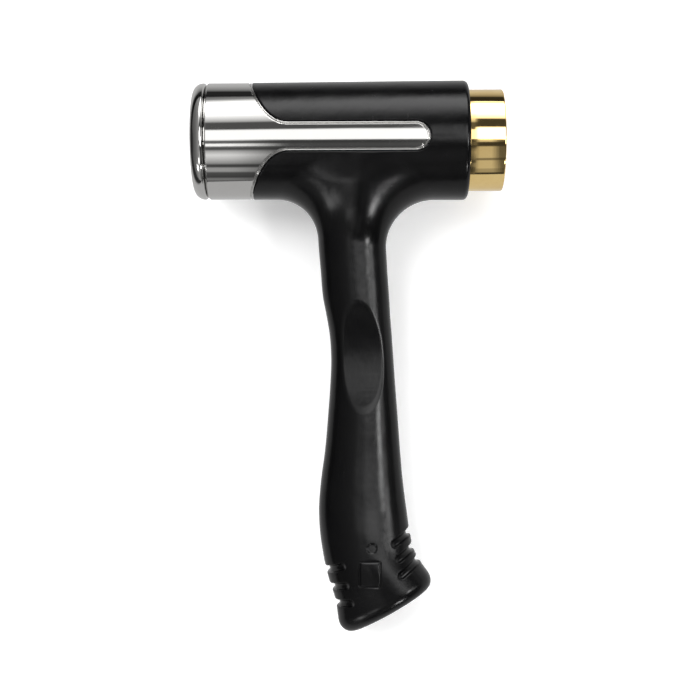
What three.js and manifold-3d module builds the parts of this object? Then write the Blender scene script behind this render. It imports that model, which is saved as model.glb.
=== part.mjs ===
// Dead blow mallet: a steel shot canister with a chromed steel striking face at one end and a
// screw-in brass striking face at the other, carried in a one-piece black moulding that is both
// the sleeve round the head and the handle.
//
// The mallet is modelled upright in its own frame, in millimetres: +X along the head towards the
// brass face with 0 at mid-length, -Y down the handle, Z out of the flat sides. The last function
// lays it on its side on the table, with the origin under the middle of its box.

import * as THREE from 'three';
import { mergeVertices } from 'three/addons/utils/BufferGeometryUtils.js';
import Module from 'manifold-3d';

const wasm = await Module();
wasm.setup();

// ---- Driving dimensions -----------------------------------------------------------------

const gap = 0.3; // clearance left between neighbouring pieces

const headHalfLength = 67.6;
const chromeRadius = 25.4; // 2 in face and shell
const brassRadius = 22.2; // 1 3/4 in face
const roundSides = 48;
const smallSides = 24;

const steelSeamX = -61.8; // joint between the steel face and the chrome shell
const steelRimRadius = 4.6;
const seamChamfer = 0.8;
const steelSpigotLength = 6;

const canisterRadius = 22.225;
const chamberRadius = 20;
const canisterEndX = 46;
const plugLength = 14;

const sleeveEndX = 52.4;
const sleeveRadiusLeft = 25.5; // at the arch, growing by the moulding's draft
const sleeveRadiusRight = 26.1; // at the brass end
const sleeveEdgeRadius = 2.2;
const sleeveBoreRadius = canisterRadius + gap;

const archCrownX = -42.05; // the window's edge over the head's top and bottom
const archShoulderX = -25; // where the arch runs into the slot
const archExponent = 2.2;
const slotHalfWidth = 6.2;
const slotEndX = 34.9;

const brassRimChamfer = 0.6;
const studRadius = 6; // M12 x 1.5
const studInPlug = 11;
const studInBrass = 13.7;
const washerThickness = 2.4;
const washerRadius = 10.6;

const shotLevel = -2; // height of the charge's top over the head's axis, lying on its side
const shotTravel = 8; // free run each way from the middle of the chamber

const rodX = 4;
const rodRadius = 6;
const rodTopY = -25.8;
const rodEndY = -188;
const saddleRadius = 9.5;
const saddleEndY = -32;
const pinRadius = 2.5;
const pinLength = 22;
const pinY = -176;

const restTilt = THREE.MathUtils.degToRad(2.9); // the head is thicker than the butt

const sectionExponent = 2.1; // the handle's oval section, 2 would be an ellipse
const sectionSides = 28;

// The handle down its length: [y, left edge x, right edge x, half thickness].
const handleStations = [
  [-17, -33, 35.3, 18],
  [-25.6, -30, 33.3, 15.2],
  [-29, -22, 26.2, 14],
  [-34, -17.2, 20.3, 13.2],
  [-44, -13.4, 16.5, 12.7],
  [-57, -12.4, 17.1, 12.4],
  [-76, -10, 18.2, 12.2],
  [-96, -7.9, 19.7, 12.2],
  [-120, -9.4, 21.3, 12.6],
  [-142, -11.6, 22.9, 13.4],
  [-161, -13.7, 25, 14.6],
  [-176, -13, 27.2, 15.9],
  [-187, -11.3, 31.6, 16.5],
  [-194, -9.2, 36.1, 16.6],
  [-201, -7.1, 32.4, 16],
  [-207.5, -5.7, 23.6, 14],
  [-213, -4.9, 14.2, 10],
  [-217, -1.9, 5.7, 4],
];
const handleRings = 36;

// A shallow scoop for the thumb on each side, flat across the handle and hollow along it.
const thumbRecess = { y: -93.8, halfLength: 22.4, floorZ: 9.5, depth: 2.7 };

// Grip notches on the butt: [inner end x, y, outer end x, y], running out past the edge.
const gripNotches = [
  [-1.8, -188.1, -14, -189.3],
  [-0.6, -196.9, -12, -196.5],
  [1.3, -204.4, -10, -203.8],
  [18.2, -177.7, 31, -168.9],
  [20, -184.5, 33, -175.2],
  [21.7, -191.4, 36, -179.8],
];
const notchHalfWidth = 1.1;
const notchDepth = 1.8;

// ---- Materials --------------------------------------------------------------------------

function finish(color, roughness, metalness) {
  return new THREE.MeshStandardMaterial({ color, roughness, metalness });
}

const blackMoulding = finish(0x1a1a1b, 0.5, 0);
const chrome = finish(0xe6e7e9, 0.08, 1);
const brass = finish(0xc9a35a, 0.3, 1);
const plainSteel = finish(0x9b9c9e, 0.45, 1);
const darkSteel = finish(0x55575a, 0.5, 1);

// ---- Shape helpers ----------------------------------------------------------------------

function solidOf(geometry) {
  const bare = geometry.clone();
  bare.deleteAttribute('normal');
  bare.deleteAttribute('uv');
  const merged = mergeVertices(bare, 1e-4);
  return new wasm.Manifold(
    new wasm.Mesh({
      numProp: 3,
      vertProperties: new Float32Array(merged.attributes.position.array),
      triVerts: new Uint32Array(merged.index.array),
    }),
  );
}

function geometryOf(solid) {
  const mesh = solid.getMesh();
  const geometry = new THREE.BufferGeometry();
  geometry.setAttribute('position', new THREE.BufferAttribute(mesh.vertProperties, 3));
  geometry.setIndex(new THREE.BufferAttribute(mesh.triVerts, 1));
  geometry.computeVertexNormals();
  return geometry;
}

function piece(name, solid, material) {
  const mesh = new THREE.Mesh(geometryOf(solid), material);
  mesh.name = name;
  return mesh;
}

// A solid of revolution about the head's axis, from [x, radius] points in order along +X.
function turnedAlongX(profile, sides = roundSides) {
  const points = profile.map(([x, radius]) => new THREE.Vector2(radius, x));
  return solidOf(new THREE.LatheGeometry(points, sides).rotateZ(-Math.PI / 2));
}

function rodAlongX(x0, x1, radius, sides = roundSides) {
  return turnedAlongX([[x0, 0], [x0, radius], [x1, radius], [x1, 0]], sides);
}

// A solid of revolution about the handle rod's axis, from [y, radius] points in order up +Y.
function turnedAlongY(profile, sides = smallSides) {
  const points = profile.map(([y, radius]) => new THREE.Vector2(radius, y));
  return solidOf(new THREE.LatheGeometry(points, sides)).translate([rodX, 0, 0]);
}

function rodAlongY(y0, y1, radius) {
  return turnedAlongY([[y0, 0], [y0, radius], [y1, radius], [y1, 0]]);
}

// Points of an arc in [x, radius] terms, centre first, angles in degrees from +X.
function arcPoints(centreX, centreRadius, radius, fromDegrees, toDegrees, steps) {
  return Array.from({ length: steps + 1 }, (_, i) => {
    const angle = THREE.MathUtils.degToRad(fromDegrees + ((toDegrees - fromDegrees) * i) / steps);
    return [centreX + radius * Math.cos(angle), centreRadius + radius * Math.sin(angle)];
  });
}

// An outline in X and Y, extruded right through the mallet along Z.
function prismThroughZ(shape, halfDepth, curveSegments = 12) {
  const settings = { depth: 2 * halfDepth, bevelEnabled: false, curveSegments };
  return solidOf(new THREE.ExtrudeGeometry(shape, settings).translate(0, 0, -halfDepth));
}

// ---- Head -------------------------------------------------------------------------------

// The outline, seen square on, of the opening in the sleeve: everything left of an arch that
// narrows into a round-ended slot. It is laid out along the cylinder's surface, then projected.
// The shell fills it, and grow leaves a gap round the shell.
function windowPrism(grow) {
  const quarterTurn = (chromeRadius * Math.PI) / 2;
  const half = slotHalfWidth + grow;
  const crown = archCrownX + grow;
  const beyond = 30;
  const upper = [new THREE.Vector2(-headHalfLength - 5, beyond), new THREE.Vector2(crown, beyond)];
  const archSteps = 10;
  for (let i = 0; i <= archSteps; i += 1) {
    const angle = (Math.PI / 2) * (i / archSteps);
    const along = Math.cos(angle) ** (2 / archExponent);
    const around = Math.sin(angle) ** (2 / archExponent);
    const x = archShoulderX - (archShoulderX - crown) * along;
    const surface = quarterTurn - (quarterTurn - half) * around;
    upper.push(new THREE.Vector2(x, chromeRadius * Math.sin(surface / chromeRadius)));
  }
  const slotEnd = slotEndX + grow;
  const endSteps = 5;
  for (let i = 0; i < endSteps; i += 1) {
    const angle = (Math.PI / 2) * (1 - i / endSteps);
    upper.push(new THREE.Vector2(slotEnd - half + half * Math.cos(angle), half * Math.sin(angle)));
  }
  const lower = upper.map((point) => new THREE.Vector2(point.x, -point.y)).reverse();
  const outline = [...upper, new THREE.Vector2(slotEnd, 0), ...lower];
  return prismThroughZ(new THREE.Shape(outline), beyond);
}

function steelFace() {
  const spigotRadius = chamberRadius - gap;
  const rimX = -headHalfLength + steelRimRadius;
  return turnedAlongX([
    [-headHalfLength, 0],
    ...arcPoints(rimX, chromeRadius - steelRimRadius, steelRimRadius, 180, 90, 6),
    [steelSeamX - seamChamfer, chromeRadius],
    [steelSeamX, chromeRadius - seamChamfer],
    [steelSeamX, spigotRadius],
    [steelSeamX + steelSpigotLength, spigotRadius],
    [steelSeamX + steelSpigotLength, 0],
  ]);
}

function chromeShell() {
  const startX = steelSeamX + gap;
  const endX = slotEndX + 1;
  const ring = turnedAlongX([
    [startX, sleeveBoreRadius],
    [startX, chromeRadius - seamChamfer],
    [startX + seamChamfer, chromeRadius],
    [endX, chromeRadius],
    [endX, sleeveBoreRadius],
    [startX, sleeveBoreRadius],
  ]);
  return ring.intersect(windowPrism(0));
}

function canisterTube() {
  return turnedAlongX([
    [steelSeamX + gap, chamberRadius],
    [steelSeamX + gap, canisterRadius],
    [canisterEndX, canisterRadius],
    [canisterEndX, chamberRadius],
    [steelSeamX + gap, chamberRadius],
  ]);
}

function endPlug() {
  const startX = canisterEndX - plugLength;
  const threadEndX = canisterEndX - studInPlug - 2 * gap;
  const body = rodAlongX(startX, canisterEndX, chamberRadius - gap);
  return body.subtract(rodAlongX(threadEndX, canisterEndX + 1, studRadius + gap, smallSides));
}

function brassFace() {
  const seatX = canisterEndX + gap;
  const studHole = rodAlongX(seatX - 1, seatX + studInBrass + gap, studRadius + gap, smallSides);
  const washerSeat = rodAlongX(seatX - 1, seatX + washerThickness + gap, washerRadius + 2 * gap);
  const body = turnedAlongX([
    [seatX, 0],
    [seatX, brassRadius - brassRimChamfer],
    [seatX + brassRimChamfer, brassRadius],
    [headHalfLength - brassRimChamfer, brassRadius],
    [headHalfLength, brassRadius - brassRimChamfer],
    [headHalfLength, 0],
  ]);
  return body.subtract(studHole).subtract(washerSeat);
}

function faceStud() {
  const tipX = canisterEndX - studInPlug;
  const endX = canisterEndX + gap + studInBrass;
  const chamfer = 1;
  return turnedAlongX(
    [
      [tipX, 0],
      [tipX, studRadius - chamfer],
      [tipX + chamfer, studRadius],
      [endX - chamfer, studRadius],
      [endX, studRadius - chamfer],
      [endX, 0],
    ],
    smallSides,
  );
}

// A spring washer: a ring cut through at one place.
function lockWasher() {
  const startX = canisterEndX + gap;
  const endX = startX + washerThickness - gap;
  const bore = studRadius + gap;
  const splitWidth = 1.6;
  const ring = turnedAlongX([
    [startX, bore],
    [startX, washerRadius],
    [endX, washerRadius],
    [endX, bore],
    [startX, bore],
  ]);
  const split = new THREE.BoxGeometry(2 * washerThickness, washerRadius + 2, splitWidth);
  split.translate((startX + endX) / 2, (washerRadius + 2) / 2, 0);
  return ring.subtract(solidOf(split));
}

// The loose shot, as one charge with the volume of its steel, level when the mallet lies down.
function steelShot() {
  const chamberStartX = steelSeamX + steelSpigotLength;
  const chamberEndX = canisterEndX - plugLength;
  const startX = chamberStartX + shotTravel + gap;
  const endX = chamberEndX - shotTravel - gap;
  const drum = rodAlongX(startX, endX, chamberRadius - 2 * gap);
  const above = new THREE.BoxGeometry(2 * headHalfLength, 60, 40).translate(0, 0, shotLevel + 20);
  return drum.subtract(solidOf(above.rotateX(-restTilt)));
}

// ---- Handle -----------------------------------------------------------------------------

function sectionRing(left, right, inset) {
  const halfWidth = (right.x - left.x) / 2 - inset;
  const halfThickness = left.z - inset;
  const centreX = (right.x + left.x) / 2;
  return Array.from({ length: sectionSides }, (_, i) => {
    const angle = (2 * Math.PI * i) / sectionSides;
    const across = Math.cos(angle);
    const out = Math.sin(angle);
    return [
      centreX + halfWidth * Math.sign(across) * Math.abs(across) ** (2 / sectionExponent),
      left.y,
      halfThickness * Math.sign(out) * Math.abs(out) ** (2 / sectionExponent),
    ];
  });
}

// The handle's outside, lofted through its stations; inset makes the same shape smaller.
function handleLoft(inset = 0) {
  const edge = (column) =>
    new THREE.CatmullRomCurve3(
      handleStations.map((s) => new THREE.Vector3(s[column], s[0], s[3])),
      false,
      'catmullrom',
      0.5,
    );
  const leftEdge = edge(1);
  const rightEdge = edge(2);
  const positions = [];
  for (let i = 0; i <= handleRings; i += 1) {
    const left = leftEdge.getPoint(i / handleRings);
    const right = rightEdge.getPoint(i / handleRings);
    positions.push(...sectionRing(left, right, inset));
  }
  const last = handleRings * sectionSides;
  const topCentre = positions.length;
  positions.push([0, handleStations[0][0], 0]);
  positions.push([1.5, handleStations.at(-1)[0] - 0.6, 0]);
  const index = [];
  for (let j = 0; j < sectionSides; j += 1) {
    const next = (j + 1) % sectionSides;
    for (let row = 0; row < last; row += sectionSides) {
      const below = row + sectionSides;
      index.push(row + j, row + next, below + j, row + next, below + next, below + j);
    }
    index.push(topCentre, next, j, topCentre + 1, last + j, last + next);
  }
  const geometry = new THREE.BufferGeometry();
  geometry.setAttribute('position', new THREE.Float32BufferAttribute(positions.flat(), 3));
  geometry.setIndex(index);
  return solidOf(geometry);
}

function slotPrism(x0, y0, x1, y1, halfWidth) {
  const shape = new THREE.Shape();
  const length = Math.hypot(x1 - x0, y1 - y0);
  shape.absarc(length, 0, halfWidth, -Math.PI / 2, Math.PI / 2);
  shape.absarc(0, 0, halfWidth, Math.PI / 2, (3 * Math.PI) / 2);
  shape.closePath();
  const turn = THREE.MathUtils.radToDeg(Math.atan2(y1 - y0, x1 - x0));
  return prismThroughZ(shape, 40, 4).rotate([0, 0, turn]).translate([x0, y0, 0]);
}

// The big drum that scoops out one thumb recess; side is 1 or -1.
function thumbScoop(side) {
  const { y, halfLength, floorZ, depth } = thumbRecess;
  const radius = (halfLength ** 2 + depth ** 2) / (2 * depth);
  const drum = new THREE.CylinderGeometry(radius, radius, 60, 120).rotateZ(Math.PI / 2);
  return solidOf(drum.translate(rodX, y, side * (floorZ + radius)));
}

// The grip notches' outlines, down to a skin below the surface.
function notchCuts() {
  const underNotches = handleLoft(notchDepth);
  const slots = gripNotches.map(([x0, y0, x1, y1]) => slotPrism(x0, y0, x1, y1, notchHalfWidth));
  return slots.reduce((all, slot) => all.add(slot)).subtract(underNotches);
}

function sleeveBarrel() {
  const edgeX = sleeveEndX - sleeveEdgeRadius;
  const edgeRadius = sleeveRadiusRight - sleeveEdgeRadius;
  return turnedAlongX([
    [archCrownX - 1, 0],
    [archCrownX - 1, sleeveRadiusLeft],
    ...arcPoints(edgeX, edgeRadius, sleeveEdgeRadius, 90, 0, 4),
    [sleeveEndX, 0],
  ]);
}

function crossPin(radius, length) {
  return rodAlongX(rodX - length / 2, rodX + length / 2, radius, smallSides).translate([0, pinY, 0]);
}

function bodyMoulding() {
  return sleeveBarrel()
    .add(handleLoft())
    .subtract(rodAlongX(-headHalfLength, headHalfLength, sleeveBoreRadius))
    .subtract(windowPrism(gap))
    .subtract(notchCuts())
    .subtract(thumbScoop(1))
    .subtract(thumbScoop(-1))
    .subtract(rodAlongY(saddleEndY - gap, -15, saddleRadius + gap))
    .subtract(rodAlongY(rodEndY - gap, -15, rodRadius + gap))
    .subtract(crossPin(pinRadius + gap, pinLength + 2 * gap));
}

// The boss welded to the canister, hollowed to sit on it and bored for the rod.
function coreSaddle() {
  const canister = rodAlongX(-headHalfLength, headHalfLength, canisterRadius + gap);
  return rodAlongY(saddleEndY, -15, saddleRadius)
    .subtract(canister)
    .subtract(rodAlongY(saddleEndY - 1, rodTopY + gap, rodRadius + gap));
}

// The steel rod inside the handle, ringed with grooves that the moulding grips.
function coreRod() {
  const grooveDepth = 1;
  const grooveHalf = 2;
  const grooves = [-160, -135, -110, -60].flatMap((y) => [
    [y - grooveHalf - grooveDepth, rodRadius],
    [y - grooveHalf, rodRadius - grooveDepth],
    [y + grooveHalf, rodRadius - grooveDepth],
    [y + grooveHalf + grooveDepth, rodRadius],
  ]);
  const rod = turnedAlongY([
    [rodEndY, 0],
    [rodEndY, rodRadius - grooveDepth],
    [rodEndY + grooveDepth, rodRadius],
    ...grooves,
    [rodTopY, rodRadius],
    [rodTopY, 0],
  ]);
  return rod.subtract(crossPin(pinRadius + gap, 4 * rodRadius));
}

// ---- Assembly ---------------------------------------------------------------------------

function upright() {
  const mallet = new THREE.Group();
  mallet.add(
    piece('body_moulding', bodyMoulding(), blackMoulding),
    piece('chrome_shell', chromeShell(), chrome),
    piece('steel_face', steelFace(), chrome),
    piece('brass_face', brassFace(), brass),
    piece('canister_tube', canisterTube(), plainSteel),
    piece('end_plug', endPlug(), plainSteel),
    piece('face_stud', faceStud(), darkSteel),
    piece('lock_washer', lockWasher(), darkSteel),
    piece('steel_shot', steelShot(), plainSteel),
    piece('core_saddle', coreSaddle(), plainSteel),
    piece('core_rod', coreRod(), plainSteel),
    piece('core_cross_pin', crossPin(pinRadius, pinLength), darkSteel),
  );
  return mallet;
}

// Tips the mallet onto its side, so that head and butt both touch the table at z = 0, and
// moves the middle of its box over the origin.
function layOnTable(mallet) {
  mallet.rotation.x = restTilt;
  mallet.updateMatrixWorld(true);
  const box = new THREE.Box3().setFromObject(mallet, true);
  const middle = box.getCenter(new THREE.Vector3());
  mallet.position.set(-middle.x, -middle.y, -box.min.z);
  return mallet;
}

const table = new THREE.Group();
table.add(layOnTable(upright()));

export default table;
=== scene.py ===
"""Dead blow mallet: fine surfaces, materials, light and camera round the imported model.

Lengths are millimetres in the mallet's own frame, the one it is modelled in: +X along the head
towards the brass face with 0 at mid-length, -Y down the handle, Z out of the flat sides. laid()
turns that frame onto the table, in metres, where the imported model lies.
"""

import math
import random

import bmesh
import bpy
import numpy as np
from mathutils import Matrix, Vector


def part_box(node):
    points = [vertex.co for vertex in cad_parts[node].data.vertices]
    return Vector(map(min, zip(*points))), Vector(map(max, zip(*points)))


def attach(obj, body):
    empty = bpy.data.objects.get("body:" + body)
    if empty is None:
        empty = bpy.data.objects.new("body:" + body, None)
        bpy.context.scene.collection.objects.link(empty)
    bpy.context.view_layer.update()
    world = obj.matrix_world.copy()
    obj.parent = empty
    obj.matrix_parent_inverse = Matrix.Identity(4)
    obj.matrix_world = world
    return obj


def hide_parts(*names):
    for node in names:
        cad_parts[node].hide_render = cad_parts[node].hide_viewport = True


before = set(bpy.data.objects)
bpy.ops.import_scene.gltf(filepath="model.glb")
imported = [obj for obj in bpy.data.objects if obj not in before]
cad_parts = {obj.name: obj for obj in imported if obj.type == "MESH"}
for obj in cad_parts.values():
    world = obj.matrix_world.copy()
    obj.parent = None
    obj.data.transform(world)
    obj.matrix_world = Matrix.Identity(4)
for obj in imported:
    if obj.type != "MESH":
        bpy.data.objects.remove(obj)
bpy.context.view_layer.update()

# ---- Sizes, as the model has them ---------------------------------------------------------

GAP = 0.3
HEAD_HALF = 67.6
CHROME_R = 25.4
BRASS_R = 22.2
STEEL_SEAM_X = -61.8
STEEL_RIM_R = 4.6
SEAM_CHAMFER = 0.8
STEEL_SPIGOT = 6.0
CANISTER_R = 22.225
CHAMBER_R = 20.0
CANISTER_END_X = 46.0
PLUG_LENGTH = 14.0
BORE_R = CANISTER_R + GAP

SLEEVE_END_X = 52.4
SLEEVE_R_LEFT = 25.5
SLEEVE_R_RIGHT = 26.1
SLEEVE_EDGE_R = 2.2
ARCH_CROWN_X = -42.05
ARCH_SHOULDER_X = -25.0
ARCH_EXPONENT = 2.2
SLOT_HALF = 6.2
SLOT_END_X = 34.9
BEAD_WIDTH = 0.8  # the shell's edge bead, to the middle of the groove inside it
BEAD_GROOVE = 0.5

STUD_R = 6.0
THREAD_PITCH = 1.5
THREAD_DEPTH = 0.92
STUD_IN_PLUG = 11.0
STUD_IN_BRASS = 13.7
WASHER_THICK = 2.4
WASHER_R = 10.6
SHOT_LEVEL = -2.0
SHOT_TRAVEL = 8.0

ROD_X = 4.0
ROD_R = 6.0
ROD_END_Y = -188.0
SADDLE_R = 9.5
SADDLE_END_Y = -32.0
PIN_R = 2.5
PIN_LENGTH = 22.0
PIN_Y = -176.0

REST_TILT = math.radians(2.9)

# The handle down its length: [y, left edge, right edge, half thickness]. Its neck runs straight
# up into the sleeve, and its edges run on past the slanted butt end that cuts them off.
SECTION_EXPONENT = 2.1
HANDLE = np.array(
    [
        [20, -14.0, 16.6, 13.0],
        [-24, -13.8, 16.5, 12.9],
        [-44, -13.4, 16.5, 12.7],
        [-57, -12.4, 17.1, 12.4],
        [-69, -11.4, 17.9, 12.25],
        [-76, -10.1, 18.25, 12.2],
        [-84, -8.75, 18.85, 12.2],
        [-96, -8.0, 19.65, 12.2],
        [-108, -8.5, 20.45, 12.4],
        [-121, -9.5, 21.4, 12.7],
        [-137, -11.0, 22.5, 13.2],
        [-150, -12.8, 23.6, 13.9],
        [-163, -13.8, 25.2, 14.8],
        [-174, -13.3, 26.8, 15.8],
        [-182, -12.2, 28.8, 16.3],
        [-188, -11.1, 32.2, 16.55],
        [-194, -9.6, 36.7, 16.5],
        [-204, -6.6, 45.0, 16.05],
        [-212, -5.5, 52.0, 15.7],
        [-235, -2.1, 74.0, 14.6],
    ]
)
HANDLE_TOP_Y = -20.0  # inside the sleeve
CORE_TOP_Y = -15.0
NECK_FILLET = (17.5, 21.5)  # towards the steel face, towards the brass face
NECK_BLEND = 16.0  # the stretch along X over which one becomes the other
BUTT_X = 27.4  # the slanted end passes through here
BUTT_Y = -202.5
BUTT_SLOPE = 0.597
BUTT_EDGE_R = (8.5, 6.2)  # at the toe, at the heel
BUTT_EDGE_X = (-5.0, 20.0)  # where the toe's ends and the heel's begins

RECESS_Y = -93.8
RECESS_HALF = 22.4
RECESS_FLOOR_Z = 9.5
RECESS_DEPTH = 2.7

# Grip notches: inner end x, y, then outer end x, y, past the edge.
NOTCHES = [
    (-3.6, -186.7, -14, -190.9),
    (-2.2, -195.4, -12, -198.4),
    (0.0, -203.4, -10, -205.4),
    (19.8, -176.4, 31, -170.0),
    (21.4, -183.3, 33, -176.4),
    (22.6, -190.2, 36, -181.2),
]
NOTCH_HALF = 1.6
NOTCH_DEPTH = 1.8

# Blank moulding marks on the butt's upper side: a round dimple, and a panel with a sunk outline.
MARK_DIMPLE_AT = (9.6, -178.1)
MARK_DIMPLE_R = 2.1
MARK_DIMPLE_BLEND = 0.7
MARK_PANEL_AT = (8.6, -189.6)
MARK_PANEL_HALF = (3.6, 4.6)  # without its rounded corners
MARK_PANEL_CORNER_R = 0.9
MARK_LINE_HALF = 0.4
MARK_LINE_BLEND = 0.6
MARK_DEPTH = 0.4

# Roundings of the moulding's and the shell's edges.
NOTCH_FLOOR_R = 1.4
NOTCH_EDGE_R = 0.55
RECESS_EDGE_R = 0.5
WINDOW_EDGE_R = 0.5
BORE_EDGE_R = 0.4
SHELL_START_R = 0.15
SHELL_EDGE_R = 0.25
BEAD_GROOVE_R = (0.1, 0.2)  # at its floor, at its edges

HEAD_MIDDLE = sum(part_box("brass_face"), Vector()) / 2
LAID = (
    Matrix.Translation((0, HEAD_MIDDLE.y, HEAD_MIDDLE.z))
    @ Matrix.Rotation(REST_TILT, 4, "X")
    @ Matrix.Scale(0.001, 4)
)


def laid(points):
    """Points of the mallet's own frame, in millimetres, where they lie on the table, in metres."""
    turn = np.array(LAID)
    return np.asarray(points, float) @ turn[:3, :3].T + turn[:3, 3]


# ---- Distance fields ----------------------------------------------------------------------


def round_both(a, b, radius):
    """Where both a and b are inside, with the outer edge between them rounded."""
    corner = np.hypot(np.maximum(radius + a, 0), np.maximum(radius + b, 0))
    return np.minimum(-radius, np.maximum(a, b)) + corner


def round_either(a, b, radius):
    """Where a or b is inside, with a fillet of that radius between them."""
    corner = np.hypot(np.maximum(radius - a, 0), np.maximum(radius - b, 0))
    return np.maximum(radius, np.minimum(a, b)) - corner


def at_corner(a, b):
    """Where both a and b are inside, with true distances round the outside of their edge."""
    return np.hypot(np.maximum(a, 0), np.maximum(b, 0)) + np.minimum(np.maximum(a, b), 0)


def blended(pair, t):
    """Between the pair's two values, as t goes from 0 to 1."""
    return pair[0] + (pair[1] - pair[0]) * smooth_step(t)


def smooth_step(t):
    t = np.clip(t, 0, 1)
    return t * t * (3 - 2 * t)


def handle_column(y, column):
    """A smooth curve through one column of the handle's stations."""
    ys = -HANDLE[:, 0]
    values = HANDLE[:, column]
    slopes = np.gradient(values, ys)
    at = np.clip(-y, ys[0], ys[-1])
    i = np.clip(np.searchsorted(ys, at) - 1, 0, len(ys) - 2)
    span = (ys[i + 1] - ys[i]).astype(at.dtype)
    t = (at - ys[i]) / span
    start, end = values[i], values[i + 1]
    bend = (t**3 - 2 * t**2 + t) * slopes[i] + (t**3 - t**2) * slopes[i + 1]
    return start + (end - start) * (3 * t**2 - 2 * t**3) + bend * span


def handle_skin(x, y, z):
    """Distance to the handle's sides, without its slanted end."""
    stations = np.unique(y)
    left, right, half = (handle_column(stations, c) for c in (1, 2, 3))
    if stations.size < y.size:
        left, right, half = (np.interp(y, stations, c) for c in (left, right, half))
    width = (right - left) / 2
    u = np.abs(x - (left + right) / 2) / width
    v = np.abs(z) / half
    n = SECTION_EXPONENT
    g = (u**n + v**n) ** (1 / n) + 1e-9
    slope = np.hypot((u / g) ** (n - 1) / width, (v / g) ** (n - 1) / half)
    return (g - 1) / (slope + 1e-6)


def butt_end(x, y):
    steep = 1 / math.hypot(1, BUTT_SLOPE)
    return (BUTT_Y + BUTT_SLOPE * (x - BUTT_X) - y) * steep


def window(x, y, z):
    """Distance, along the head's surface, outside the opening of arch and slot."""
    around = CHROME_R * np.arctan2(np.abs(y), np.abs(z))
    quarter = CHROME_R * math.pi / 2
    reach = ARCH_SHOULDER_X - ARCH_CROWN_X
    height = quarter - SLOT_HALF
    u = np.maximum(ARCH_SHOULDER_X - x, 0) / reach
    v = np.maximum(quarter - around, 0) / height
    n = ARCH_EXPONENT
    g = (u**n + v**n) ** (1 / n) + 1e-9
    slope = np.hypot((u / g) ** (n - 1) / reach, (v / g) ** (n - 1) / height)
    arch = (1 - g) / (slope + 1e-6)
    end_x = SLOT_END_X - SLOT_HALF
    return np.where(x < end_x, arch, np.hypot(x - end_x, around) - SLOT_HALF)


def segment(x, y, x0, y0, x1, y1):
    """Distance in X and Y to a straight stretch."""
    dx, dy = x1 - x0, y1 - y0
    t = np.clip(((x - x0) * dx + (y - y0) * dy) / (dx * dx + dy * dy), 0, 1)
    return np.hypot(x - x0 - t * dx, y - y0 - t * dy)


def mark_depth(x, y, z):
    """How deep the two blank marks are pressed into the upper side."""
    dimple_x, dimple_y = MARK_DIMPLE_AT
    dimple = np.hypot(x - dimple_x, y - dimple_y) - MARK_DIMPLE_R
    panel_x, panel_y = MARK_PANEL_AT
    half_x, half_y = MARK_PANEL_HALF
    panel = at_corner(np.abs(x - panel_x) - half_x, np.abs(y - panel_y) - half_y)
    line = np.abs(panel - MARK_PANEL_CORNER_R) - MARK_LINE_HALF
    pressed = smooth_step(0.5 - dimple / MARK_DIMPLE_BLEND)
    pressed = pressed + smooth_step(0.5 - line / MARK_LINE_BLEND)
    return MARK_DEPTH * np.clip(pressed, 0, 1) * (z > 0)


def moulding_field(x, y, z):
    """The black moulding: the sleeve round the head and the handle in one."""
    across = np.hypot(y, z)
    draft = (SLEEVE_R_RIGHT - SLEEVE_R_LEFT) / (SLEEVE_END_X - ARCH_CROWN_X)
    barrel = across - (SLEEVE_R_LEFT + draft * (x - ARCH_CROWN_X))
    sleeve = round_both(barrel, x - SLEEVE_END_X, SLEEVE_EDGE_R)
    sides = handle_skin(x, y, z)
    toe_x, heel_x = BUTT_EDGE_X
    butt_r = blended(BUTT_EDGE_R, (x - toe_x) / (heel_x - toe_x))
    handle = round_both(sides, butt_end(x, y), butt_r)
    handle = handle + mark_depth(x, y, z)
    for notch in NOTCHES:
        groove = segment(x, y, *notch) - NOTCH_HALF
        cut = round_both(groove, -sides - NOTCH_DEPTH, NOTCH_FLOOR_R)
        handle = round_both(handle, -cut, NOTCH_EDGE_R)
    drum_r = (RECESS_HALF**2 + RECESS_DEPTH**2) / (2 * RECESS_DEPTH)
    drum = np.hypot(y - RECESS_Y, np.abs(z) - RECESS_FLOOR_Z - drum_r) - drum_r
    handle = round_both(handle, -drum, RECESS_EDGE_R)
    handle = at_corner(handle, y - HANDLE_TOP_Y)
    solid = round_either(sleeve, handle, blended(NECK_FILLET, x / NECK_BLEND + 0.5))
    solid = round_both(solid, GAP - window(x, y, z), WINDOW_EDGE_R)
    solid = round_both(solid, BORE_R - across, BORE_EDGE_R)
    from_rod = np.hypot(x - ROD_X, z)
    above = y - CORE_TOP_Y
    saddle = np.maximum(from_rod - SADDLE_R - GAP, np.maximum(SADDLE_END_Y - GAP - y, above))
    rod = np.maximum(from_rod - ROD_R - GAP, np.maximum(ROD_END_Y - GAP - y, above))
    pin = np.maximum(
        np.hypot(y - PIN_Y, z) - PIN_R - GAP, np.abs(x - ROD_X) - PIN_LENGTH / 2 - GAP
    )
    return np.maximum(solid, -np.minimum(np.minimum(saddle, rod), pin))


def shell_field(x, y, z):
    """The chromed shell: the ring behind the steel face and its two long tongues."""
    across = np.hypot(y, z)
    start_x = STEEL_SEAM_X + GAP
    outside = across - CHROME_R
    bevel = (outside + start_x - x + SEAM_CHAMFER) * math.sqrt(0.5)
    shell = np.maximum(round_both(outside, start_x - x, SHELL_START_R), bevel)
    beyond = window(x, y, z)
    shell = round_both(shell, beyond, SHELL_EDGE_R)
    groove = np.abs(beyond + BEAD_WIDTH) - BEAD_GROOVE / 2
    floor_r, edge_r = BEAD_GROOVE_R
    groove = round_both(groove, CHROME_R - BEAD_GROOVE - across, floor_r)
    shell = round_both(shell, -groove, edge_r)
    return np.maximum(shell, BORE_R - across)


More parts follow.
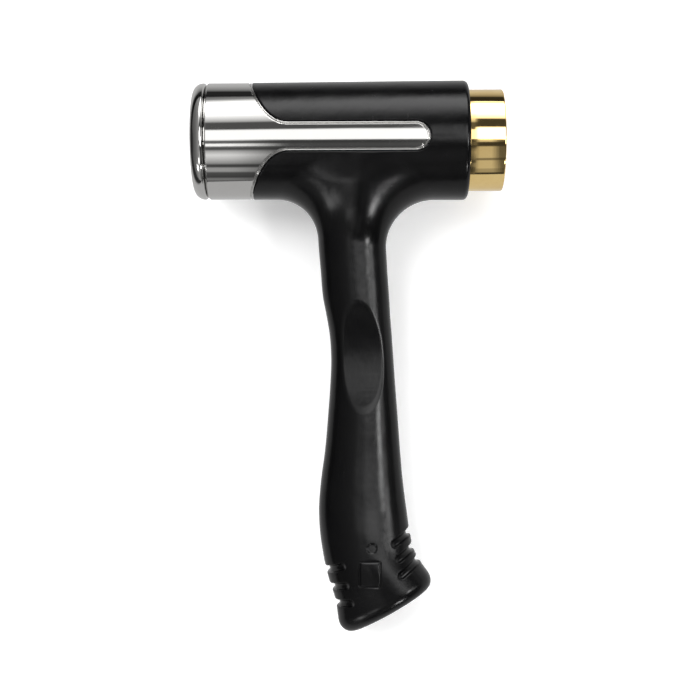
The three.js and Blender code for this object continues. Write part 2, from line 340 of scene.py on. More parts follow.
def gradient(field, points, reach=0.02):
    slope = np.empty_like(points)
    for axis in range(3):
        step = np.zeros(3)
        step[axis] = reach
        slope[:, axis] = (field(*(points + step).T) - field(*(points - step).T)) / (2 * reach)
    return slope


def pulled_onto(field, points, most):
    """Points moved onto the surface where the field is zero, each time by that much at most."""
    for _ in range(2):
        slope = gradient(field, points)
        move = slope * (field(*points.T) / np.maximum((slope**2).sum(1), 1e-3))[:, None]
        length = np.linalg.norm(move, axis=1, keepdims=True)
        points = points - move * np.minimum(1, most / np.maximum(length, 1e-9))
    return points


def surface_net(field, low, high, step):
    """Vertices and triangles of the surface where the field crosses zero, on a grid."""
    axes = [np.arange(a, b + step, step) for a, b in zip(low, high)]
    values = np.empty([len(a) for a in axes], np.float32)
    slab = 24
    for j in range(0, len(axes[1]), slab):
        grid = np.meshgrid(axes[0], axes[1][j : j + slab], axes[2], indexing="ij")
        values[:, j : j + slab] = field(*grid)
    inside = values < 0
    cells = tuple(n - 1 for n in values.shape)
    corners = [(i, j, k) for i in (0, 1) for j in (0, 1) for k in (0, 1)]

    def shifted(array, corner):
        return array[tuple(slice(c, c + n) for c, n in zip(corner, cells))]

    count = sum(shifted(inside, c).astype(np.int8) for c in corners)
    active = np.argwhere((count > 0) & (count < 8))
    total = np.zeros((len(active), 3))
    hits = np.zeros(len(active))
    for a in corners:
        for axis in range(3):
            if a[axis]:
                continue
            b = tuple(c + (d == axis) for d, c in enumerate(a))
            start = values[tuple((active + a).T)]
            end = values[tuple((active + b).T)]
            crossed = (start < 0) != (end < 0)
            part = start / np.where(crossed, start - end, 1)
            place = np.tile(np.array(a, float), (len(active), 1))
            place[:, axis] += part
            total += np.where(crossed[:, None], place, 0)
            hits += crossed
    points = (active + total / hits[:, None]) * step + np.array([a[0] for a in axes])
    number = np.full(cells, -1, np.int32)
    number[tuple(active.T)] = np.arange(len(active))
    quads = []
    for axis in range(3):
        one, two = (axis + 1) % 3, (axis + 2) % 3
        first = np.moveaxis(inside, (axis, one, two), (0, 1, 2))
        ids = np.moveaxis(number, (axis, one, two), (0, 1, 2))
        low_side = first[:-1, 1:-1, 1:-1]
        high_side = first[1:, 1:-1, 1:-1]
        at = np.argwhere(low_side != high_side)
        i, j, k = at.T
        quad = np.stack([ids[i, j, k], ids[i, j + 1, k], ids[i, j + 1, k + 1], ids[i, j, k + 1]], 1)
        out = low_side[i, j, k]
        quads.append(np.where(out[:, None], quad, quad[:, ::-1]))
    quads = np.concatenate(quads)
    return points, np.concatenate([quads[:, [0, 1, 2]], quads[:, [0, 2, 3]]])


def mesh_of(name, points, faces):
    mesh = bpy.data.meshes.new(name)
    mesh.vertices.add(len(points))
    mesh.vertices.foreach_set("co", np.asarray(points, np.float32).ravel())
    mesh.loops.add(faces.size)
    mesh.loops.foreach_set("vertex_index", faces.astype(np.int32).ravel())
    mesh.polygons.add(len(faces))
    mesh.polygons.foreach_set("loop_start", np.arange(0, faces.size, faces.shape[1], dtype=np.int32))
    mesh.update(calc_edges=True)
    mesh.validate()
    return mesh


def linked(name, mesh):
    piece = bpy.data.objects.new(name, mesh)
    bpy.context.scene.collection.objects.link(piece)
    return piece


def thinned(mesh, triangles):
    """The mesh with fewer triangles, most of them kept where it bends most."""
    helper = linked("helper", mesh)
    cut = helper.modifiers.new("thin", "DECIMATE")
    cut.ratio = triangles / len(mesh.polygons)
    bpy.context.view_layer.update()
    seen = helper.evaluated_get(bpy.context.evaluated_depsgraph_get())
    fewer = bpy.data.meshes.new_from_object(seen)
    bpy.data.objects.remove(helper)
    return fewer


def sculpted(name, field, low, high, step, triangles):
    """A piece made from a distance field, with its normals taken from the field."""
    points, faces = surface_net(field, low, high, step)
    points = pulled_onto(field, points, step)
    mesh = mesh_of(name, points, faces)
    if len(faces) > triangles:
        mesh = thinned(mesh, triangles)
    points = np.empty(len(mesh.vertices) * 3, np.float32)
    mesh.vertices.foreach_get("co", points)
    points = pulled_onto(field, points.reshape(-1, 3).astype(float), 0.1)
    normals = gradient(field, points)
    normals /= np.maximum(np.linalg.norm(normals, axis=1, keepdims=True), 1e-9)
    mesh.vertices.foreach_set("co", laid(points).astype(np.float32).ravel())
    mesh.polygons.foreach_set("use_smooth", np.ones(len(mesh.polygons), bool))
    mesh.update()
    turn = np.array(LAID)[:3, :3] * 1000
    mesh.normals_split_custom_set_from_vertices((normals @ turn.T).astype(np.float32))
    mesh.name = name
    return linked(name, mesh)


# ---- Turned pieces --------------------------------------------------------------------------


def arc(centre_x, centre_r, radius, start, end, steps=10):
    """Profile points round a corner, angles in degrees from +X."""
    turns = np.radians(np.linspace(start, end, steps + 1))
    return [(centre_x + radius * math.cos(a), centre_r + radius * math.sin(a)) for a in turns]


def threaded(x0, x1, radius, depth, steps_per_pitch=10):
    """Profile rows of a threaded stretch: x, crest radius, thread depth there."""
    count = max(2, int(abs(x1 - x0) / THREAD_PITCH * steps_per_pitch))
    rows = []
    for i in range(count + 1):
        x = x0 + (x1 - x0) * i / count
        from_end = min(abs(x - x0), abs(x - x1))
        rows.append((x, radius, depth * min(1, from_end / THREAD_PITCH)))
    return rows


def turned(name, rows, sides, sharp=40):
    """A piece of revolution about the head's axis. A row is x, radius and perhaps the depth of a
    right-hand thread, which is cut into the row's radius where it is positive."""
    angles = np.arange(sides) * 2 * math.pi / sides
    rings = []
    for x, radius, *depth in rows:
        phase = (x / THREAD_PITCH - angles / (2 * math.pi)) % 1
        groove = np.clip(np.abs(phase - 0.5) * 2.4 - 0.2, 0, 1)
        r = radius - (depth[0] * groove if depth else 0) * np.ones(sides)
        rings.append(np.stack([np.full(sides, x), r * np.cos(angles), r * np.sin(angles)], 1))
    points = np.concatenate(rings)
    closed = rows[0][1] > 0
    last = len(rows) if closed else len(rows) - 1
    faces = []
    column = np.arange(sides)
    after = (column + 1) % sides
    for i in range(last):
        a = i * sides
        b = ((i + 1) % len(rows)) * sides
        faces.append(np.stack([a + column, b + column, b + after, a + after], 1))
    mesh = mesh_of(name, laid(points), np.concatenate(faces))
    shape = bmesh.new()
    shape.from_mesh(mesh)
    bmesh.ops.remove_doubles(shape, verts=shape.verts, dist=1e-7)
    bmesh.ops.recalc_face_normals(shape, faces=shape.faces)
    for face in shape.faces:
        face.smooth = True
    shape.to_mesh(mesh)
    shape.free()
    mesh.set_sharp_from_angle(angle=math.radians(sharp))
    return linked(name, mesh)


def steel_face():
    spigot = CHAMBER_R - GAP
    rim_x = -HEAD_HALF + STEEL_RIM_R
    back_x = STEEL_SEAM_X + STEEL_SPIGOT
    rows = [
        (-HEAD_HALF, 0),
        (-HEAD_HALF, 12),
        *arc(rim_x, CHROME_R - STEEL_RIM_R, STEEL_RIM_R, 180, 90, 20),
        (STEEL_SEAM_X - SEAM_CHAMFER - 0.15, CHROME_R),
        (STEEL_SEAM_X - SEAM_CHAMFER + 0.15, CHROME_R - 0.12),
        (STEEL_SEAM_X - 0.1, CHROME_R - SEAM_CHAMFER + 0.1),
        (STEEL_SEAM_X, CHROME_R - SEAM_CHAMFER - 0.1),
        (STEEL_SEAM_X, spigot),
        (back_x - 0.5, spigot),
        (back_x, spigot - 0.5),
        (back_x, 0),
    ]
    return turned("steel_face_turned", rows, 192)


def brass_face():
    seat_x = CANISTER_END_X + GAP
    edge = 0.6
    hole = STUD_R + GAP
    hole_x = seat_x + STUD_IN_BRASS + GAP
    pocket_x = seat_x + WASHER_THICK + GAP
    pocket_r = WASHER_R + 2 * GAP
    rows = [
        (HEAD_HALF, 0),
        (HEAD_HALF, 11),
        *arc(HEAD_HALF - edge, BRASS_R - edge, edge, 0, 90, 6),
        *arc(seat_x + edge, BRASS_R - edge, edge, 90, 180, 6),
        (seat_x, pocket_r + 0.4),
        (seat_x + 0.4, pocket_r),
        (pocket_x, pocket_r),
        (pocket_x, hole + 0.5),
        *[(x, r, -d) for x, r, d in threaded(pocket_x + 0.5, hole_x - 0.3, hole, 0.14)],
        (hole_x, hole - 0.4),
        (hole_x + 0.9, 0),
    ]
    return turned("brass_face_turned", rows, 192)


def canister_tube():
    start_x = STEEL_SEAM_X + GAP
    edge = 0.4
    rows = [
        (start_x, CHAMBER_R),
        (start_x, CANISTER_R),
        *arc(CANISTER_END_X - edge, CANISTER_R - edge, edge, 90, 0, 4),
        *arc(CANISTER_END_X - edge, CHAMBER_R + edge, edge, 0, -90, 4),
    ]
    return turned("canister_tube_turned", rows, 128)


def end_plug():
    start_x = CANISTER_END_X - PLUG_LENGTH
    thread_x = CANISTER_END_X - STUD_IN_PLUG - 2 * GAP
    radius = CHAMBER_R - GAP
    hole = STUD_R + GAP
    edge = 0.5
    rows = [
        (start_x, 0),
        *arc(start_x + edge, radius - edge, edge, 180, 90, 4),
        *arc(CANISTER_END_X - edge, radius - edge, edge, 90, 0, 4),
        (CANISTER_END_X, hole + 0.9),
        (CANISTER_END_X - 0.9, hole),
        *[(x, r, -d) for x, r, d in threaded(CANISTER_END_X - 1, thread_x + 0.3, hole, 0.14)],
        (thread_x, hole - 0.4),
        (thread_x, 0),
    ]
    return turned("end_plug_turned", rows, 128)


def face_stud():
    tip_x = CANISTER_END_X - STUD_IN_PLUG
    end_x = CANISTER_END_X + GAP + STUD_IN_BRASS
    root = STUD_R - THREAD_DEPTH
    rows = [
        (tip_x, 0),
        (tip_x, root - 0.2),
        *threaded(tip_x + 0.9, end_x - 0.9, STUD_R, THREAD_DEPTH, 14),
        (end_x, root - 0.2),
        (end_x, 0),
    ]
    return turned("face_stud_threaded", rows, 72, 50)


def lock_washer():
    """A split spring washer of rounded square section, its ends a little apart along X."""
    start_x = CANISTER_END_X + GAP
    thick = WASHER_THICK - GAP
    inner = STUD_R + GAP
    edge = 0.35
    spring = 0.25
    middle_r = (inner + WASHER_R) / 2
    half_r = (WASHER_R - inner) / 2 - edge
    half_x = (thick - spring) / 2 - edge
    section = []
    for turn in range(0, 360, 30):
        a = math.radians(turn)
        side_x = half_x if turn < 90 or turn > 270 else -half_x
        side_r = half_r if turn < 180 else -half_r
        section.append((side_x + edge * math.cos(a), side_r + edge * math.sin(a)))
    split = 0.8 / middle_r
    turns = np.linspace(split, 2 * math.pi - split, 97)
    points = []
    for i, a in enumerate(turns):
        lean = spring * (i / (len(turns) - 1) - 0.5)
        for dx, dr in section:
            r = middle_r + dr
            x = start_x + thick / 2 + dx + lean
            points.append((x, r * math.cos(a), r * math.sin(a)))
    around = len(section)
    shape = bmesh.new()
    made = [shape.verts.new(p) for p in laid(points)]
    for i in range(len(turns) - 1):
        for j in range(around):
            k = (j + 1) % around
            a, b = i * around, (i + 1) * around
            shape.faces.new([made[a + j], made[b + j], made[b + k], made[a + k]])
    shape.faces.new(made[:around])
    shape.faces.new(made[-around:][::-1])
    bmesh.ops.recalc_face_normals(shape, faces=shape.faces)
    for face in shape.faces:
        face.smooth = True
    mesh = bpy.data.meshes.new("lock_washer_split")
    shape.to_mesh(mesh)
    shape.free()
    mesh.set_sharp_from_angle(angle=math.radians(50))
    return linked("lock_washer_split", mesh)


def steel_shot():
    """The charge of loose balls, packed close and level while the mallet lies on its side."""
    ball_r = 2.4
    start_x = STEEL_SEAM_X + STEEL_SPIGOT + SHOT_TRAVEL + GAP + ball_r
    end_x = CANISTER_END_X - PLUG_LENGTH - SHOT_TRAVEL - GAP - ball_r
    inside = CHAMBER_R - 2 * GAP - ball_r
    pitch = 2 * ball_r * 1.02
    row_step, layer_step = pitch * math.sqrt(0.75), pitch * math.sqrt(2 / 3)
    draw = random.Random(7)
    centres = []
    for layer in range(9):
        level = -inside + layer * layer_step
        for row in range(-6, 7):
            across = (row + (layer % 2) / 3) * row_step
            for i in range(18):
                along = start_x + (i + (row % 2) / 2 + (layer % 2) / 2) * pitch
                x = along + draw.uniform(-0.04, 0.04)
                y = across + draw.uniform(-0.04, 0.04)
                low = level + draw.uniform(-0.04, 0.04)
                if x < end_x and math.hypot(y, low) < inside and low < SHOT_LEVEL - ball_r:
                    centres.append((x, y, low))
    shape = bmesh.new()
    bmesh.ops.create_icosphere(shape, subdivisions=3, radius=ball_r / 1000)
    ball = bpy.data.meshes.new("ball")
    shape.to_mesh(ball)
    shape.free()
    corners = np.array([v.co for v in ball.vertices])
    faces = np.array([list(p.vertices) for p in ball.polygons])
    bpy.data.meshes.remove(ball)
    level_turn = np.array(Matrix.Rotation(-REST_TILT, 3, "X"))
    places = laid(np.array(centres) @ level_turn.T)
    points = np.concatenate([corners + place for place in places])
    count = len(places)
    every = np.concatenate([faces + i * len(corners) for i in range(count)])
    mesh = mesh_of("steel_shot_balls", points, every)
    mesh.polygons.foreach_set("use_smooth", np.ones(len(mesh.polygons), bool))
    return linked("steel_shot_balls", mesh)


# ---- Materials ------------------------------------------------------------------------------


class Nodes:
    """A material and short ways to add nodes to it."""

    def __init__(self, name):
        self.material = bpy.data.materials.new(name)
        self.material.use_nodes = True
        self.tree = self.material.node_tree
        self.shader = self.tree.nodes["Principled BSDF"]
        self.place = self.add("ShaderNodeTexCoord").outputs["Object"]

    def add(self, kind, **settings):
        node = self.tree.nodes.new(kind)
        for key, value in settings.items():
            setattr(node, key, value)
        return node

    def link(self, start, end):
        self.tree.links.new(start, end)

    def set(self, **values):
        for key, value in values.items():
            self.shader.inputs[key.replace("_", " ")].default_value = value

    def noise(self, scale, detail=2.0, rough=0.5, stretch=(1, 1, 1)):
        """Noise of that many waves in a metre, squeezed along each axis by stretch."""
        mapping = self.add("ShaderNodeMapping")
        mapping.inputs["Scale"].default_value = stretch
        self.link(self.place, mapping.inputs["Vector"])
        noise = self.add("ShaderNodeTexNoise", noise_type="FBM")
        noise.inputs["Scale"].default_value = scale
        noise.inputs["Detail"].default_value = detail
        noise.inputs["Roughness"].default_value = rough
        self.link(mapping.outputs[0], noise.inputs["Vector"])
        return noise.outputs["Fac"]

    def ranged(self, value, low, high, out_low, out_high):
        step = self.add("ShaderNodeMapRange")
        for socket, number in zip(step.inputs[1:5], (low, high, out_low, out_high)):
            socket.default_value = number
        self.link(value, step.inputs[0])
        return step.outputs[0]

    def maths(self, operation, a, b):
        node = self.add("ShaderNodeMath", operation=operation)
        for socket, value in zip(node.inputs, (a, b)):
            if isinstance(value, (int, float)):
                socket.default_value = value
            else:
                self.link(value, socket)
        return node.outputs[0]

    def mixed(self, share, one, two):
        mix = self.add("ShaderNodeMix", data_type="RGBA")
        self.link(share, mix.inputs[0])
        for socket, colour in ((mix.inputs[6], one), (mix.inputs[7], two)):
            if isinstance(colour, tuple):
                socket.default_value = (*colour, 1)
            else:
                self.link(colour, socket)
        return mix.outputs[2]

    def bumps(self, *layers):
        """Bumps one over the other, each a height between 0 and 1 and its depth in metres."""
        under = None
        for height, depth in layers:
            bump = self.add("ShaderNodeBump")
            bump.inputs["Strength"].default_value = 1
            bump.inputs["Distance"].default_value = depth
            self.link(height, bump.inputs["Height"])
            if under:
                self.link(under, bump.inputs["Normal"])
            under = bump.outputs[0]
        self.link(under, self.shader.inputs["Normal"])


def black_moulding():
    """Glass-filled black plastic, satin, with a faint orange-peel skin and handling marks."""
    nodes = Nodes("black_moulding")
    patches = nodes.noise(55, 3, 0.6)
    speckle = nodes.noise(2600, 2, 0.6)
    scuffs = nodes.ranged(nodes.noise(420, 4, 0.7, (1, 0.12, 1)), 0.62, 0.74, 0, 1)
    patchy = nodes.ranged(patches, 0.35, 0.7, 0, 1)
    colour = nodes.mixed(patchy, (0.0016, 0.0016, 0.0018), (0.0026, 0.0026, 0.0028))
    colour = nodes.mixed(nodes.maths("MULTIPLY", scuffs, 0.35), colour, (0.008, 0.008, 0.0085))
    nodes.link(colour, nodes.shader.inputs["Base Color"])
    rough = nodes.ranged(patches, 0.3, 0.7, 0.185, 0.235)
    rough = nodes.maths("ADD", rough, nodes.maths("MULTIPLY", scuffs, 0.08))
    rough = nodes.maths("ADD", rough, nodes.ranged(speckle, 0.3, 0.7, -0.02, 0.02))
    nodes.link(rough, nodes.shader.inputs["Roughness"])
    nodes.set(IOR=1.3)
    nodes.bumps((nodes.noise(130, 2, 0.5), 0.00012), (speckle, 0.000012))
    return nodes.material


def chrome_plate():
    """Bright chrome over polished steel: a slow waviness and a few hairline marks, and duller
    where the steel face strikes."""
    nodes = Nodes("chrome_plate")
    haze = nodes.noise(90, 3, 0.6)
    hairlines = nodes.ranged(nodes.noise(900, 3, 0.7, (0.08, 1, 1)), 0.63, 0.72, 0, 1)
    colour = nodes.mixed(haze, (0.52, 0.515, 0.5), (0.56, 0.555, 0.545))
    nodes.link(colour, nodes.shader.inputs["Base Color"])
    rough = nodes.ranged(haze, 0.35, 0.7, 0.035, 0.06)
    rough = nodes.maths("ADD", rough, nodes.maths("MULTIPLY", hairlines, 0.05))
    along = nodes.add("ShaderNodeSeparateXYZ")
    nodes.link(nodes.place, along.inputs[0])
    struck = nodes.ranged(along.outputs[0], -0.0625, -0.0645, 0.0, 0.08)
    nodes.link(nodes.maths("ADD", rough, struck), nodes.shader.inputs["Roughness"])
    nodes.set(Metallic=1.0)
    nodes.bumps((nodes.noise(32, 1, 0.4), 0.00005), (nodes.noise(1900, 2, 0.5), 0.0000012))
    return nodes.material


def turned_brass():
    """Polished brass bar with fine turning marks round the axis and a light tarnish."""
    nodes = Nodes("turned_brass")
    tarnish = nodes.noise(70, 4, 0.6)
    rings = nodes.noise(2200, 3, 0.6, (1, 0.03, 0.03))
    spots = nodes.ranged(nodes.noise(260, 3, 0.6), 0.66, 0.76, 0, 1)
    patchy = nodes.ranged(tarnish, 0.35, 0.7, 0, 1)
    colour = nodes.mixed(patchy, (0.94, 0.70, 0.31), (0.88, 0.63, 0.26))
    colour = nodes.mixed(nodes.maths("MULTIPLY", spots, 0.4), colour, (0.6, 0.4, 0.15))
    nodes.link(colour, nodes.shader.inputs["Base Color"])
    rough = nodes.ranged(tarnish, 0.3, 0.7, 0.03, 0.055)
    rough = nodes.maths("ADD", rough, nodes.ranged(rings, 0.3, 0.7, -0.015, 0.02))
    nodes.link(rough, nodes.shader.inputs["Roughness"])
    nodes.set(Metallic=1.0)
    nodes.bumps((nodes.noise(40, 1, 0.4), 0.00003), (rings, 0.0000018))
    return nodes.material


def worn_steel(name, light, dark, rough_low, rough_high):
    """Bare or blackened steel with machining lines and darker patches."""
    nodes = Nodes(name)
    patches = nodes.noise(110, 4, 0.65)
    lines = nodes.noise(1500, 3, 0.6, (1, 0.05, 0.05))
    colour = nodes.mixed(nodes.ranged(patches, 0.35, 0.7, 0, 1), light, dark)
    nodes.link(colour, nodes.shader.inputs["Base Color"])
    nodes.link(nodes.ranged(patches, 0.3, 0.7, rough_low, rough_high), nodes.shader.inputs["Roughness"])
    nodes.set(Metallic=1.0)
    nodes.bumps((lines, 0.00001), (nodes.noise(3000, 2, 0.5), 0.000004))
    return nodes.material


# ---- Floor, light and camera ----------------------------------------------------------------


TABLE_HALF = 3.0
TABLE_PAINT = 0.92
FLOOR_GLOW = 0.3  # light of its own that the table shows the camera
MIRRORED_FLOOR = 0.65
# Where the mirrored floor ends: from and to, in metres, then its brightness at each.
FLOOR_ENDS_BEHIND = (0.16, 0.26, MIRRORED_FLOOR, 0.03)
FLOOR_ENDS_LEFT = (-0.15, -0.12, 0.05, 1)  # here a share of that brightness

# The studio round the head's axis: (degrees from straight up towards +Y, brightness), straight
# between one and the next: six panels for the steel end and five for the brass end, with darker
# gaps between them.
LEFT_PANELS = [
    (-90, 0.3),  # low wall by the handle
    (-85, 0.3),
    (-82, 0.04),
    (-71, 0.1),
    (-68, 0.6),  # lower panel
    (-61, 0.6),
    (-58, 0.06),
    (-54, 0.06),
    (-51, 0.5),  # middle panel
    (-34, 1.5),
    (-26, 0.8),
    (-23, 0.1),
    (-20, 0.1),
    (-17, 0.5),  # strip
    (-12, 0.5),
    (-10, 0.2),
    (-7, 0.2),
    (-4, 2.3),  # overhead panel
    (15, 2.3),
    (18, 0.1),
    (32, 0.1),
    (35, 0.8),  # key panel, brightest behind the mallet
    (48, 2.2),
    (64, 7.0),
    (80, 7.5),
    (84, 2.5),
    (92, 0.5),
    (105, 0.05),
]
RIGHT_PANELS = [
    (-86, 0.01),
    (-84, 0.4),  # lower panel
    (-75, 0.4),
    (-73, 0.65),
    (-54, 0.65),
    (-52, 0.2),
    (-49, 0.2),
    (-47, 0.65),  # middle panel
    (-22, 0.65),
    (-20, 0.01),
    (-12, 0.01),
    (-10, 1.0),  # strip
    (-6, 1.0),
    (-4, 5.0),  # overhead panel
    (20, 5.0),
    (23, 0.02),
    (41, 0.02),
    (44, 2.2),  # key panel
    (64, 7.0),
    (80, 7.5),
    (85, 2.4),
    (98, 2.0),
    (101, 0.1),
]
STUDIO_PEAK = 7.5
SLANT = 1.32  # how much further forward the back panels reach towards the steel face
SLANT_REACH = 0.35  # how far towards -X that goes on growing
ROOMS_MEET = (0.052, 0.068)  # how far towards +X the left panels end and the right ones begin
PANEL_ENDS = [(-0.25, 0.0), (-0.14, 1), (0.42, 1), (0.6, 0.08)]  # how far towards +X, share left
DIMMED_TO = 0.15  # the share of light left in the two darker places that follow
# In front of this turn, the panels are darker further out than this along X.
FRONT_TURN = -8.0
FRONT_TURN_FADE = 3.0
FRONT_HALF = 0.2
FRONT_FADE = 0.05
# A dark strip in front, as of the camera and its stand: half its width and where it begins.
STAND_HALF = 2.6
STAND_TURN = -5.5
STAND_FADE = 2.0
# A thin strip of light that only the steel end mirrors.
SLIT_TURN = -14.3
SLIT_HALF = 3.0
SLIT_TILT = -2.5
SLIT_FADE = 2.0
SLIT_LIGHT = 1.6
# Small panels: towards +X and towards +Y in degrees, their half sizes, brightness.
SMALL_PANELS = [
    (41.0, -10.5, 7.0, 8.0, 34.0),
    (54.0, 1.5, 8.5, 5.5, 18.0),
    (28.0, -62.0, 5.5, 5.0, 60.0),
    (-28.0, -64.0, 8.0, 7.0, 9.0),
    (-15.0, -46.0, 6.0, 8.0, 4.0),
]
SMALL_FADE = 4.0
AMBIENT = 0.06
# The wall beyond the steel face: how far towards +X, brightness.
WALL = [(-0.985, 0.0), (-0.96, 0.12), (-0.6, 0.28), (-0.3, 0.5), (-0.18, 0.45), (-0.13, 0.0)]
ROOM_LIGHT = 0.55  # the even light of the room on whatever is matt
BACKDROP = 1.3  # the pale room past the table, as the camera sees it

SUN_ENERGY = 2.1
SUN_ANGLE = math.radians(35)
SUN_FROM = (-0.6, 0.5, 1.0)

CAMERA_X = 0.0004
CAMERA_TOWARDS_BUTT = 0.0920
CAMERA_HEIGHT = 0.640
CAMERA_LENS = 74.72
CAMERA_TURN = math.radians(-0.29)


def floor():
    """A white table, plain to the eye. What the mallet mirrors of it is dimmer, and ends a little
    behind the head and left of it."""
    half = TABLE_HALF
    mesh = bpy.data.meshes.new("floor")
    corners = [(-half, -half, 0), (half, -half, 0), (half, half, 0), (-half, half, 0)]
    mesh.from_pydata(corners, [], [(0, 1, 2, 3)])
    table = linked("floor", mesh)
    material = bpy.data.materials.new("white_table")
    material.use_nodes = True
    nodes, links = material.node_tree.nodes, material.node_tree.links
    nodes.clear()

    def faded(value, ends):
        node = nodes.new("ShaderNodeMapRange")
        for socket, number in zip(node.inputs[1:5], ends):
            socket.default_value = number
        links.new(value, node.inputs[0])
        return node.outputs[0]

    output = nodes.new("ShaderNodeOutputMaterial")
    pick = nodes.new("ShaderNodeMixShader")
    path = nodes.new("ShaderNodeLightPath")
    links.new(path.outputs["Is Camera Ray"], pick.inputs[0])
    links.new(pick.outputs[0], output.inputs[0])
    paint = nodes.new("ShaderNodeBsdfDiffuse")
    paint.inputs["Color"].default_value = (TABLE_PAINT, TABLE_PAINT, TABLE_PAINT, 1)
    glow = nodes.new("ShaderNodeEmission")
    glow.inputs["Strength"].default_value = FLOOR_GLOW
    seen = nodes.new("ShaderNodeAddShader")
    links.new(paint.outputs[0], seen.inputs[0])
    links.new(glow.outputs[0], seen.inputs[1])
    links.new(seen.outputs[0], pick.inputs[2])
    place = nodes.new("ShaderNodeTexCoord")
    split = nodes.new("ShaderNodeSeparateXYZ")
    links.new(place.outputs["Object"], split.inputs[0])
    both = nodes.new("ShaderNodeMath")
    both.operation = "MULTIPLY"
    links.new(faded(split.outputs["Y"], FLOOR_ENDS_BEHIND), both.inputs[0])
    links.new(faded(split.outputs["X"], FLOOR_ENDS_LEFT), both.inputs[1])
    mirrored = nodes.new("ShaderNodeEmission")
    links.new(both.outputs[0], mirrored.inputs["Strength"])
    links.new(mirrored.outputs[0], pick.inputs[1])
    table.data.materials.append(material)


def studio():
    """The room: plain and pale to the eye, panels and gaps to whatever mirrors it."""
    world = bpy.data.worlds.new("studio")
    bpy.context.scene.world = world
    world.use_nodes = True
    nodes, links = world.node_tree.nodes, world.node_tree.links
    nodes.clear()

    def maths(operation, *values, clamp=False):
        node = nodes.new("ShaderNodeMath")
        node.operation = operation
        node.use_clamp = clamp
        for socket, value in zip(node.inputs, values):
            if isinstance(value, (int, float)):
                socket.default_value = value
            else:
                links.new(value, socket)
        return node.outputs[0]

    def rising(value, start, width):
        """From 0 at start up to 1, that width further on."""
        return maths("DIVIDE", maths("SUBTRACT", value, start), width, clamp=True)

    def falling(value, end, width):
        """From 1 down to 0 at end, over that width."""
        return maths("DIVIDE", maths("SUBTRACT", end, value), width, clamp=True)

    def dimmed(share):
        return maths("ADD", maths("MULTIPLY", share, 1 - DIMMED_TO), DIMMED_TO)

    def ramp(value, stops):
        node = nodes.new("ShaderNodeValToRGB")
        links.new(value, node.inputs[0])
        stops_in = node.color_ramp.elements
        for i, (at, level) in enumerate(stops):
            element = stops_in[i] if i < 2 else stops_in.new(at)
            element.position = at
            element.color = (level, level, level, 1)
        return node.outputs[0]

    def background(strength):
        node = nodes.new("ShaderNodeBackground")
        if isinstance(strength, float):
            node.inputs["Strength"].default_value = strength
        else:
            links.new(strength, node.inputs["Strength"])
        return node.outputs[0]

    def mixed(share, one, two):
        node = nodes.new("ShaderNodeMixShader")
        for socket, value in zip(node.inputs, (share, one, two)):
            links.new(value, socket)
        return node.outputs[0]

    direction = nodes.new("ShaderNodeTexCoord")
    split = nodes.new("ShaderNodeSeparateXYZ")
    links.new(direction.outputs["Generated"], split.inputs[0])
    x, y, z = split.outputs
    from_left = maths("ADD", maths("MULTIPLY", x, 0.5), 0.5)
    turn = maths("MULTIPLY", maths("ARCTAN2", y, z), 180 / math.pi)
    tilt = maths("MULTIPLY", maths("ARCSINE", x), 180 / math.pi)

    lean = maths("MULTIPLY", maths("MAXIMUM", -SLANT_REACH, maths("MINIMUM", 0.0, x)), -SLANT)
    back = maths("MULTIPLY", maths("MAXIMUM", turn, 0.0), maths("ADD", lean, 1.0))
    slanted = maths("ADD", back, maths("MINIMUM", turn, 0.0))
    at = maths("DIVIDE", maths("ADD", slanted, 180.0), 360.0)
    left, right = (
        ramp(at, [((a + 180) / 360, v / STUDIO_PEAK) for a, v in stops])
        for stops in (LEFT_PANELS, RIGHT_PANELS)
    )
    start, end = ROOMS_MEET
    share = rising(x, start, end - start)
    panels = maths("ADD", left, maths("MULTIPLY", share, maths("SUBTRACT", right, left)))
    sides = ramp(from_left, [((s + 1) / 2, v) for s, v in PANEL_ENDS])
    near = falling(maths("ABSOLUTE", x), FRONT_HALF, FRONT_FADE)
    near = maths("MAXIMUM", near, rising(turn, FRONT_TURN, FRONT_TURN_FADE))
    sides = maths("MULTIPLY", sides, dimmed(near))
    light = maths("MULTIPLY", maths("MULTIPLY", panels, sides), STUDIO_PEAK)
    wall = ramp(from_left, [((s + 1) / 2, v) for s, v in WALL])
    light = maths("ADD", light, wall)

    small = 0.0
    for across, along, half_across, half_along, level in SMALL_PANELS:
        panel = level
        for angle, middle, half in ((tilt, across, half_across), (turn, along, half_along)):
            off = maths("ABSOLUTE", maths("SUBTRACT", angle, middle))
            panel = maths("MULTIPLY", falling(off, half, SMALL_FADE), panel)
        small = maths("ADD", small, panel)
    from_slit = maths("ABSOLUTE", maths("SUBTRACT", turn, SLIT_TURN))
    slit = maths("SUBTRACT", SLIT_HALF, from_slit, clamp=True)
    slit = maths("MULTIPLY", slit, falling(tilt, SLIT_TILT, SLIT_FADE))
    slit = maths("MULTIPLY", maths("MULTIPLY", slit, sides), SLIT_LIGHT)
    beside = rising(maths("ABSOLUTE", tilt), STAND_HALF, STAND_FADE)
    behind = rising(turn, STAND_TURN, STAND_FADE)
    light = maths("MULTIPLY", light, dimmed(maths("MAXIMUM", beside, behind)))
    light = maths("ADD", maths("ADD", light, AMBIENT), maths("ADD", slit, small))

    path = nodes.new("ShaderNodeLightPath")
    room = mixed(path.outputs["Is Diffuse Ray"], background(light), background(ROOM_LIGHT))
    seen = mixed(path.outputs["Is Camera Ray"], room, background(BACKDROP))
    output = nodes.new("ShaderNodeOutputWorld")
    links.new(seen, output.inputs[0])


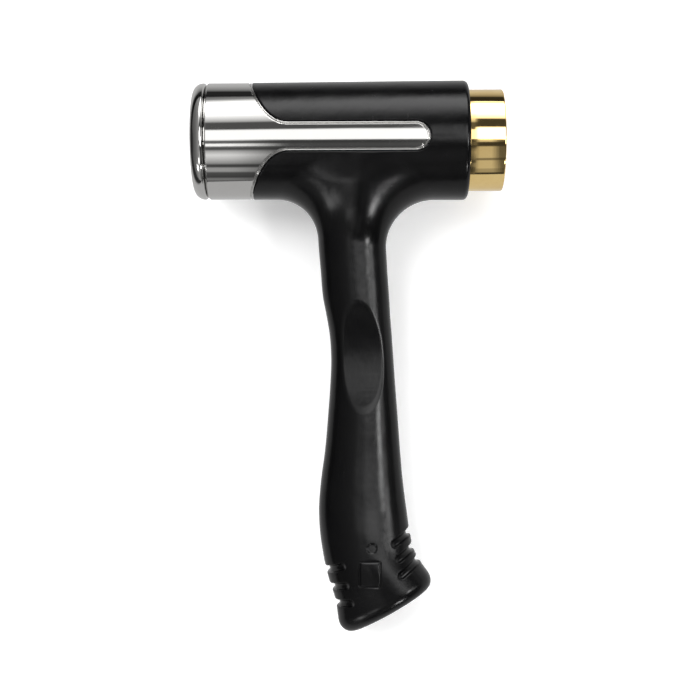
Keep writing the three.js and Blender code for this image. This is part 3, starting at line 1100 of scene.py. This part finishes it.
def soft_sun():
    """A broad soft light from the upper left, which shades the table and isn't mirrored."""
    light = bpy.data.lights.new("soft_sun", "SUN")
    light.energy = SUN_ENERGY
    light.angle = SUN_ANGLE
    sun = bpy.data.objects.new("soft_sun", light)
    sun.rotation_euler = Vector(SUN_FROM).to_track_quat("Z", "Y").to_euler()
    sun.visible_glossy = False
    bpy.context.scene.collection.objects.link(sun)


def camera():
    """Looks straight down on the mallet's middle, from 640 mm above the head's axis."""
    data = bpy.data.cameras.new("camera")
    data.lens = CAMERA_LENS
    data.sensor_width = 36
    eye = bpy.data.objects.new("camera", data)
    y, z = HEAD_MIDDLE.y - CAMERA_TOWARDS_BUTT, HEAD_MIDDLE.z + CAMERA_HEIGHT
    eye.location = (CAMERA_X, y, z)
    eye.rotation_euler = (0, 0, CAMERA_TURN)
    bpy.context.scene.collection.objects.link(eye)
    bpy.context.scene.camera = eye


# ---- Assembly -------------------------------------------------------------------------------

MATERIALS = {
    "black_moulding": black_moulding(),
    "chrome_plate": chrome_plate(),
    "turned_brass": turned_brass(),
    "plain_steel": worn_steel("plain_steel", (0.52, 0.52, 0.53), (0.36, 0.355, 0.35), 0.22, 0.38),
    "dark_steel": worn_steel("dark_steel", (0.14, 0.14, 0.15), (0.08, 0.078, 0.075), 0.3, 0.45),
}


def dressed(piece, body, slot, *nodes):
    """The piece gets its material, rides on its body and stands for its CAD nodes."""
    piece.data.materials.clear()
    piece.data.materials.append(MATERIALS[slot])
    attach(piece, body)
    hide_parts(*nodes)


camera()
floor()
studio()
soft_sun()

moulding = sculpted(
    "black_moulding_skin", moulding_field, (-43.5, -221, -28), (54, 28, 28), 0.42, 195000
)
dressed(moulding, "mallet", "black_moulding", "body_moulding")
shell = sculpted("chrome_shell_skin", shell_field, (-63, -27, -27), (36, 27, 27), 0.3, 150000)
dressed(shell, "mallet", "chrome_plate", "chrome_shell")
dressed(steel_face(), "mallet", "chrome_plate", "steel_face")
dressed(canister_tube(), "mallet", "plain_steel", "canister_tube")
dressed(end_plug(), "mallet", "plain_steel", "end_plug")
dressed(brass_face(), "brass_tip", "turned_brass", "brass_face")
dressed(face_stud(), "brass_tip", "dark_steel", "face_stud")
dressed(lock_washer(), "washer_carrier", "dark_steel", "lock_washer")
dressed(steel_shot(), "shot_charge", "plain_steel", "steel_shot")

for node, slot in (
    ("core_saddle", "plain_steel"),
    ("core_rod", "plain_steel"),
    ("core_cross_pin", "dark_steel"),
):
    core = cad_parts[node]
    core.data.materials.clear()
    core.data.materials.append(MATERIALS[slot])

bpy.context.scene.view_settings.view_transform = "Standard"
